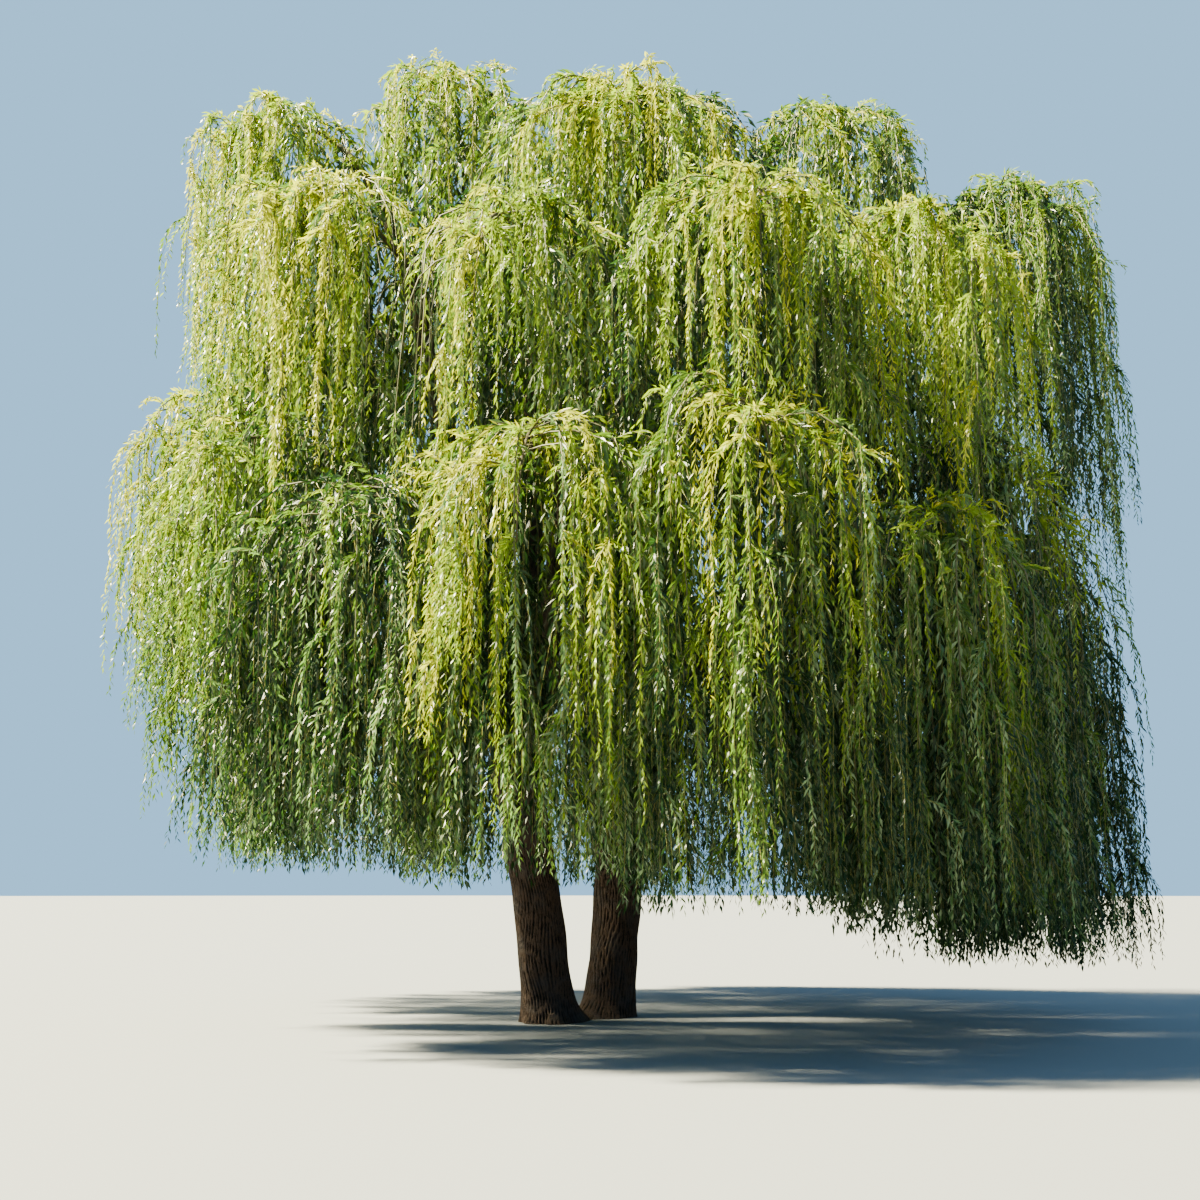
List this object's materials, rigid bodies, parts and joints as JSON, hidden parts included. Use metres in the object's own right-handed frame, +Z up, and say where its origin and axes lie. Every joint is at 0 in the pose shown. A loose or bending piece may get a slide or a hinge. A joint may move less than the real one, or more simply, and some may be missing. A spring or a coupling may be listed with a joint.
{
  "type": "weeping willow tree",
  "caption": "Mature weeping willow in summer leaf: twin stems leaning apart from one root, arching boughs and a broad crown of hanging foliage down to head height.",
  "frame": {"origin": "centre of the left stem's flat cut at ground level, on the mount ground", "axes": "+Z up; -Y towards the viewer of the picture; +X to that viewer's right, along the crown's width"},
  "size_m": [14.0726, 12.4643, 13.2363],
  "materials": {
    "bark": "deeply furrowed rough bark",
    "bough_bark": "rough bark, smoother and yellower towards the tips",
    "withe": "smooth olive-yellow twig",
    "leaf_yellow": "satin, turned yellow",
    "leaf_lime": "satin, sunlit yellow-green",
    "leaf_green": "satin, mid green",
    "leaf_deep": "satin, deep green",
    "leaf_silver": "satin, pale underside"
  },
  "bodies": {
    "root": {"bough_shoulder_back": "bough_bark", "bough_shoulder_front": "bough_bark", "bough_shoulder_front_left": "bough_bark", "bough_shoulder_left": "bough_bark", "bough_shoulder_left_back": "bough_bark", "bough_shoulder_right": "bough_bark", "bough_shoulder_right_back": "bough_bark", "bough_shoulder_right_front": "bough_bark", "bough_skirt_back": "bough_bark", "bough_skirt_back_left": "bough_bark", "bough_skirt_back_right": "bough_bark", "bough_skirt_front": "bough_bark", "bough_skirt_front_left": "bough_bark", "bough_skirt_front_right": "bough_bark", "bough_skirt_left": "bough_bark", "bough_skirt_left_front": "bough_bark", "bough_skirt_right": "bough_bark", "bough_skirt_right_back": "bough_bark", "bough_skirt_right_end": "bough_bark", "bough_skirt_right_front": "bough_bark", "bough_top_back": "bough_bark", "bough_top_back_left": "bough_bark", "bough_top_centre": "bough_bark", "bough_top_front": "bough_bark", "bough_top_left": "bough_bark", "bough_top_middle": "bough_bark", "bough_top_right": "bough_bark", "foliage_shoulder_back": "leaf_green", "foliage_shoulder_front": "leaf_green", "foliage_shoulder_front_left": "leaf_green", "foliage_shoulder_left": "leaf_lime", "foliage_shoulder_left_back": "leaf_lime", "foliage_shoulder_right": "leaf_deep", "foliage_shoulder_right_back": "leaf_green", "foliage_shoulder_right_front": "leaf_green", "foliage_skirt_back": "leaf_silver", "foliage_skirt_back_left": "leaf_green", "foliage_skirt_back_right": "leaf_deep", "foliage_skirt_front": "leaf_green", "foliage_skirt_front_left": "leaf_green", "foliage_skirt_front_right": "leaf_green", "foliage_skirt_left": "leaf_lime", "foliage_skirt_left_front": "leaf_lime", "foliage_skirt_right": "leaf_deep", "foliage_skirt_right_back": "leaf_deep", "foliage_skirt_right_end": "leaf_deep", "foliage_skirt_right_front": "leaf_deep", "foliage_top_back": "leaf_green", "foliage_top_back_left": "leaf_green", "foliage_top_centre": "leaf_green", "foliage_top_front": "leaf_green", "foliage_top_left": "leaf_lime", "foliage_top_middle": "leaf_yellow", "foliage_top_right": "leaf_green", "stem_left": "bark", "stem_right": "bark"}
  },
  "joints": []
}
